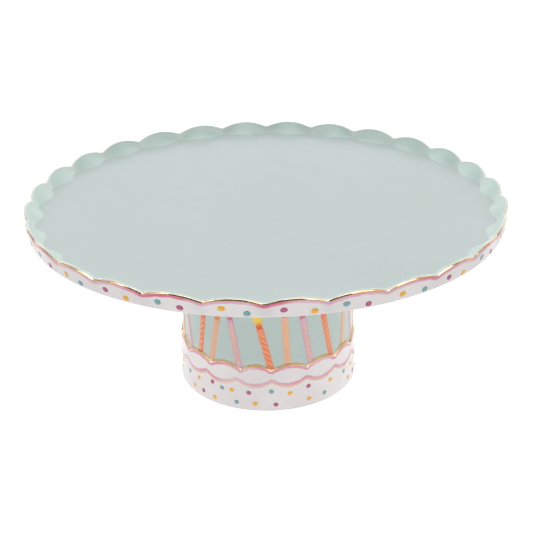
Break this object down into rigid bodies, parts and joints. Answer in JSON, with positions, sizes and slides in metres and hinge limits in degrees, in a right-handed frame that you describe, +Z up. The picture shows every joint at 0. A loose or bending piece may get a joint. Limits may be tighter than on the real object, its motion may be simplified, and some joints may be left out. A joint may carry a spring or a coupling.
{
  "type": "cake stand",
  "caption": "Round ceramic cake stand: mint plate with a scalloped petal rim and gold lip, on a wide hollow drum pedestal with a raised icing band and painted candles.",
  "frame": {"origin": "centre of the foot ring, on the table", "axes": "+Z up along the axis of the drum, -Y towards the viewer, +X to the viewer's right"},
  "size_m": [0.299, 0.299, 0.124],
  "materials": {
    "white_glaze": "gloss",
    "slip": "matt",
    "mint_glaze": "gloss",
    "gold_lustre": "polished, brushed on by hand",
    "pink_brushwork": "gloss, brushed on by hand",
    "yellow_brushwork": "gloss, brushed on by hand",
    "pink_enamel": "gloss",
    "yellow_enamel": "gloss",
    "teal_enamel": "gloss",
    "candle_lilac": "gloss",
    "candle_coral": "gloss",
    "candle_peach": "gloss",
    "stripe_yellow": "gloss",
    "wick_red": "gloss",
    "flame_yellow": "gloss"
  },
  "bodies": {
    "root": {"plate": "white_glaze", "pedestal": "white_glaze", "slip_joint": "slip", "plate_mint_glaze": "mint_glaze", "pedestal_mint_glaze": "mint_glaze", "rim_gilding": "gold_lustre", "pedestal_gilding": "gold_lustre", "rim_pink_line": "pink_brushwork", "pedestal_pink_line": "pink_brushwork", "icing_edge_pink_line": "pink_brushwork", "icing_edge_yellow_line": "yellow_brushwork", "rim_dots_pink": "pink_enamel", "rim_dots_yellow": "yellow_enamel", "rim_dots_teal": "teal_enamel", "foot_dots_pink": "pink_enamel", "foot_dots_yellow": "yellow_enamel", "foot_dots_teal": "teal_enamel", "candles_lilac": "candle_lilac", "candles_coral": "candle_coral", "candles_peach": "candle_peach", "candle_stripes": "stripe_yellow", "candle_wicks": "wick_red", "candle_flames": "flame_yellow"}
  },
  "joints": []
}
